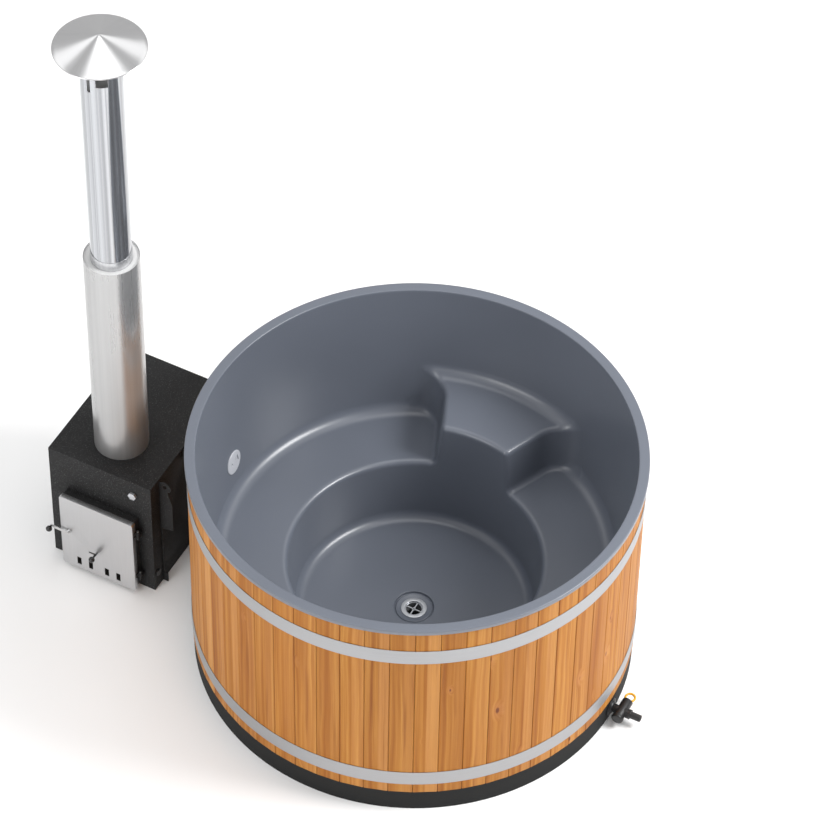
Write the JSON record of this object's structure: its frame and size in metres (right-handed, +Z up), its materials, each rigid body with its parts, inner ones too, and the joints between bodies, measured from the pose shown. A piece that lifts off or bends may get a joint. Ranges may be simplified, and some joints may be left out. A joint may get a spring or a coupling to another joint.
{
  "type": "hot tub",
  "caption": "Round moulded hot tub clad in upright boards with two steel hoops, a wood-fired side stove with a tall flue, and a drain valve.",
  "frame": {"origin": "centre of the tub's underside, on the tub's axis at ground level", "axes": "+Z up along the tub's axis; the stove stands on the -X side with its door facing -Y, and the drain valve leaves the tub towards +X"},
  "size_m": [2.3288, 1.671, 2.616],
  "materials": {
    "grey_shell": "glossy moulded acrylic, blue-grey",
    "timber": "oiled softwood boards with knots",
    "steel": "brushed stainless steel",
    "black_plastic": "black moulded plastic",
    "bare_timber": "bare sawn timber",
    "foam": "pale rigid foam",
    "polished": "polished stainless steel",
    "rubber": "black rubber",
    "yellow": "yellow plastic",
    "white_plastic": "white plastic",
    "black_steel": "black heat-resistant paint, fine texture",
    "board_fibre": "pale fireproof board"
  },
  "bodies": {
    "tub": {"liner": "grey_shell", "cladding_boards": "timber", "pipe_board": "timber", "upper_hoop": "steel", "lower_hoop": "steel", "hoop_ears": "steel", "hoop_bolts": "steel", "hoop_nuts": "steel", "base_ring": "black_plastic", "base_plate": "black_plastic", "timber_frame": "bare_timber", "insulation": "foam", "drain_flange": "polished", "drain_strainer": "polished", "drain_gasket": "rubber", "drain_locknut": "black_plastic", "drain_tee": "black_plastic", "drain_pipe": "black_plastic", "return_pipe": "black_plastic", "valve_flange": "black_plastic", "valve_body": "black_plastic", "valve_end_cap": "black_plastic", "hose_tail": "black_plastic", "inlet_fitting": "white_plastic", "inlet_gasket": "rubber", "inlet_locknut": "black_plastic", "upper_hose": "rubber", "lower_hose": "rubber", "hose_clamps": "steel", "stove_casing": "black_steel", "water_jacket": "black_steel", "stove_rails": "black_steel", "fire_grate": "black_steel", "flame_baffle": "black_steel", "door_neck": "black_steel", "fixed_knuckles": "black_steel", "hinge_pins": "steel", "hex_plug": "polished", "side_bracket": "black_steel", "jacket_drain_plug": "black_plastic", "lower_flue_pipe": "steel", "upper_flue_pipe": "polished", "outer_sleeve": "steel", "sleeve_spacers": "steel", "rain_cap": "polished", "cap_legs": "steel", "cap_rivets": "steel"},
    "stove_door": {"door_pan": "steel", "door_board": "board_fibre", "door_gasket": "rubber", "door_knuckles": "black_steel", "slider_guides": "steel"},
    "latch": {"latch_lever": "steel", "latch_knob": "black_plastic", "latch_spindle": "steel"},
    "air_slider": {"air_slider": "steel", "slider_knob": "black_plastic"},
    "valve_plug": {"valve_plug": "black_plastic", "valve_ring": "yellow"}
  },
  "joints": [
    {"name": "door_hinge", "type": "hinge", "parent": "tub", "child": "stove_door", "pos_m": [-0.994, -0.317, 0.207], "axis": [0, 0, 1], "range_deg": [0, 110]},
    {"name": "latch_turn", "type": "hinge", "parent": "stove_door", "child": "latch", "pos_m": [-1.283, -0.342, 0.213], "axis": [0, 1, 0], "range_deg": [0, 90]},
    {"name": "air_slide", "type": "slide", "parent": "stove_door", "child": "air_slider", "axis": [-1, 0, 0], "range_m": [0, 0.025]},
    {"name": "valve_turn", "type": "hinge", "parent": "tub", "child": "valve_plug", "pos_m": [0.865, 0, 0.05], "axis": [0, 1, 0], "range_deg": [0, 90]}
  ]
}
